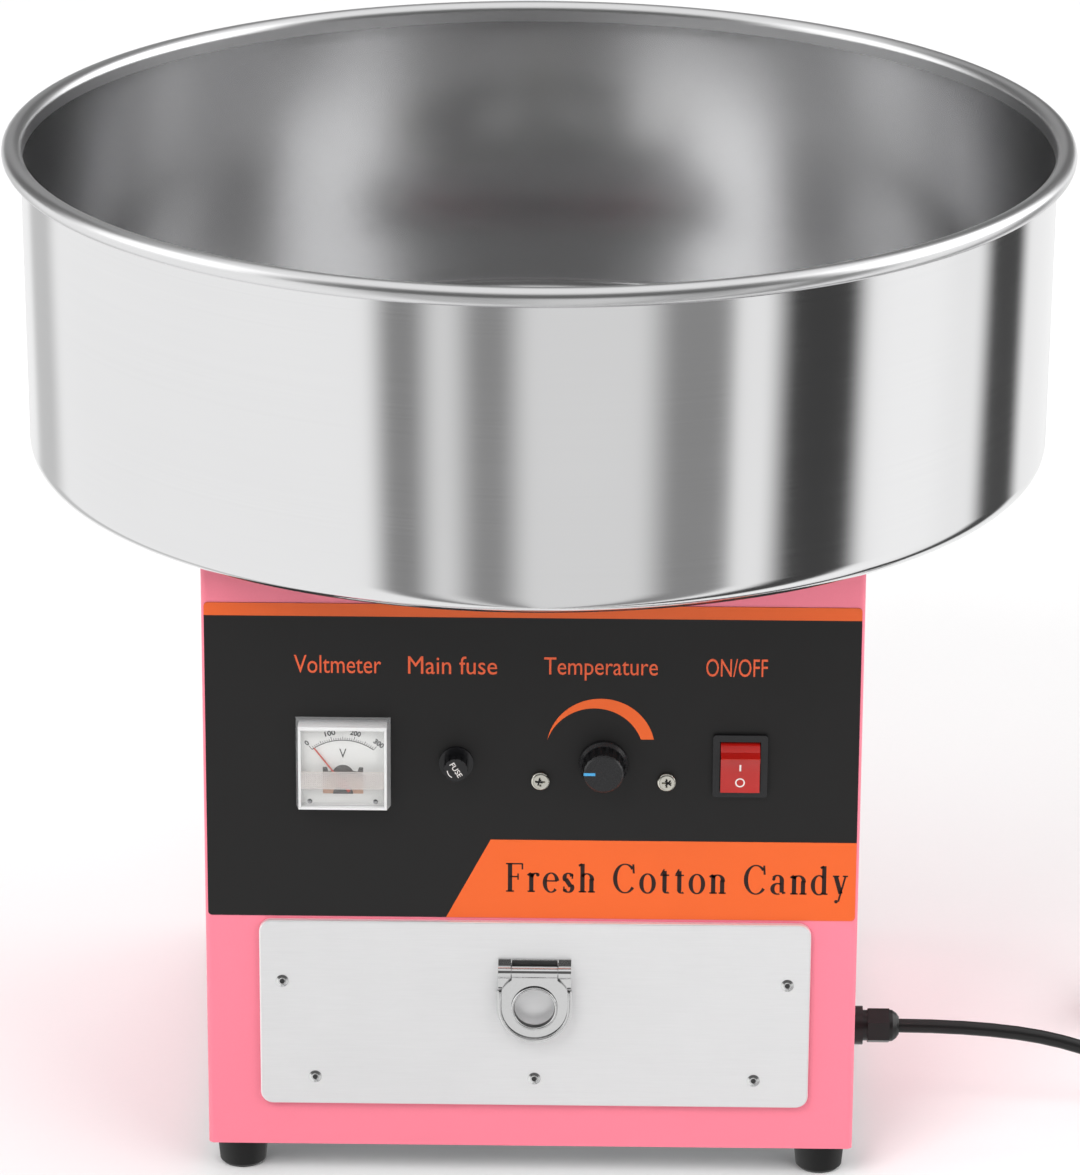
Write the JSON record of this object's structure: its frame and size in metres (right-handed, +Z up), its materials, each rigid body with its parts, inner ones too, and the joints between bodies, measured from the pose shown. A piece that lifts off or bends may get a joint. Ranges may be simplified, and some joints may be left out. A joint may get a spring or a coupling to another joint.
{
  "type": "cotton candy machine",
  "caption": "Tabletop cotton candy machine: wide round spun bowl on a square painted cabinet, front control panel with meter, knob and switch, and a drawer below.",
  "frame": {"origin": "on the ground under the axis of the bowl, at the centre of the machine", "axes": "+Z up, the control panel and drawer face -Y, the mains cord leaves towards +X"},
  "size_m": [0.6942, 0.52, 0.484],
  "materials": {
    "pink_paint": "semi-gloss powder coat",
    "printed_film": "printed polyester film",
    "zinc_sheet": "zinc plated sheet",
    "screw_steel": "nickel plated",
    "black_rubber": "matte",
    "bowl_steel": "polished stainless",
    "head_steel": "brushed stainless",
    "cast_alloy": "cast and turned",
    "shaft_steel": "ground steel",
    "insulator": "phenolic moulding",
    "copper": "turned copper",
    "carbon": "graphite",
    "spring_steel": "drawn wire",
    "motor_core": "varnished windings",
    "motor_paint": "enamel",
    "heater_sheath": "oxidised alloy sheath",
    "black_moulding": "glossy",
    "dial_white": "printed card",
    "clear_lens": "clear moulding",
    "needle_paint": "matt",
    "fuse_glass": "glass tube with metal ends",
    "regulator_case": "moulded",
    "red_rocker": "translucent red",
    "drawer_steel": "brushed stainless",
    "rivet_alloy": "satin",
    "chrome_plate": "bright",
    "black_nylon": "satin",
    "cord_sheath": "satin PVC"
  },
  "bodies": {
    "cabinet": {"cabinet_shell": "pink_paint", "control_overlay": "printed_film", "top_deck": "pink_paint", "rear_panel": "pink_paint", "base_plate": "zinc_sheet", "cabinet_screws": "screw_steel", "feet": "black_rubber", "foot_fasteners": "screw_steel", "bowl_seat": "black_rubber", "bowl_collar": "head_steel", "spindle_housing": "cast_alloy", "drive_screws": "screw_steel", "spindle_bearings": "shaft_steel", "brush_holder": "insulator", "carbon_brushes": "carbon", "brush_springs": "spring_steel", "motor_housing": "motor_paint", "motor_stator": "motor_core", "motor_bracket": "zinc_sheet", "drive_belt": "black_rubber", "meter_case": "black_moulding", "meter_dial": "dial_white", "meter_lens": "clear_lens", "fuse_holder": "black_moulding", "heat_regulator": "regulator_case", "regulator_screws": "screw_steel", "switch_housing": "black_moulding", "drawer_rails": "zinc_sheet", "gland_body": "black_nylon", "gland_cap": "black_nylon", "terminal_block": "insulator", "mains_cord": "cord_sheath", "cord_tail": "cord_sheath", "cord_coil": "cord_sheath", "mains_plug": "black_nylon"},
    "bowl": {"bowl": "bowl_steel"},
    "spinner": {"spindle_shaft": "shaft_steel", "spindle_pulley": "cast_alloy", "spindle_nuts": "screw_steel", "slip_ring_hub": "insulator", "slip_rings": "copper", "head_base": "cast_alloy", "heater_element": "heater_sheath", "perforated_band": "head_steel", "head_cover": "head_steel", "thumb_nuts": "screw_steel"},
    "motor_armature": {"motor_rotor": "shaft_steel", "motor_pulley": "cast_alloy"},
    "drawer": {"drawer_tray": "drawer_steel", "drawer_front": "drawer_steel", "drawer_rivets": "rivet_alloy", "pull_bracket": "chrome_plate", "pull_pin": "shaft_steel"},
    "pull": {"drawer_pull": "chrome_plate"},
    "fuse_carrier": {"fuse_link": "fuse_glass"},
    "fuse_cap_body": {"fuse_cap": "black_moulding"},
    "knob": {"regulator_spindle": "shaft_steel", "heat_knob": "black_moulding"},
    "rocker": {"power_rocker": "red_rocker"},
    "needle": {"meter_needle": "needle_paint"}
  },
  "joints": [
    {"name": "bowl_lift", "type": "slide", "parent": "cabinet", "child": "bowl", "axis": [0, 0, 1], "range_m": [0, 0.15]},
    {"name": "spinner_spin", "type": "hinge", "parent": "cabinet", "child": "spinner", "pos_m": [0, 0, 0.3], "axis": [0, 0, 1], "continuous": true},
    {"name": "motor_spin", "type": "hinge", "parent": "cabinet", "child": "motor_armature", "pos_m": [0, 0.104, 0.25], "axis": [0, 0, 1], "continuous": true},
    {"name": "drawer_slide", "type": "slide", "parent": "cabinet", "child": "drawer", "axis": [0, -1, 0], "range_m": [0, 0.2]},
    {"name": "pull_lift", "type": "hinge", "parent": "drawer", "child": "pull", "pos_m": [0.0018, -0.1644, 0.1125], "axis": [-1, 0, 0], "range_deg": [0, 85]},
    {"name": "fuse_slide", "type": "slide", "parent": "cabinet", "child": "fuse_carrier", "axis": [0, -1, 0], "range_m": [0, 0.04]},
    {"name": "fuse_cap_turn", "type": "hinge", "parent": "fuse_carrier", "child": "fuse_cap_body", "pos_m": [-0.036, -0.16, 0.2175], "axis": [0, -1, 0], "range_deg": [0, 90]},
    {"name": "knob_turn", "type": "hinge", "parent": "cabinet", "child": "knob", "pos_m": [0.034, -0.16, 0.2175], "axis": [0, 1, 0], "range_deg": [-45, 225]},
    {"name": "rocker_tip", "type": "hinge", "parent": "cabinet", "child": "rocker", "pos_m": [0.0988, -0.1509, 0.2175], "axis": [-1, 0, 0], "range_deg": [0, 28]},
    {"name": "needle_swing", "type": "hinge", "parent": "cabinet", "child": "needle", "pos_m": [-0.0897, -0.162, 0.2082], "axis": [0, 1, 0], "range_deg": [0, 74]}
  ],
  "couplings": [
    {"joint": "motor_spin", "follows": "spinner_spin", "ratio": 0.72393}
  ]
}
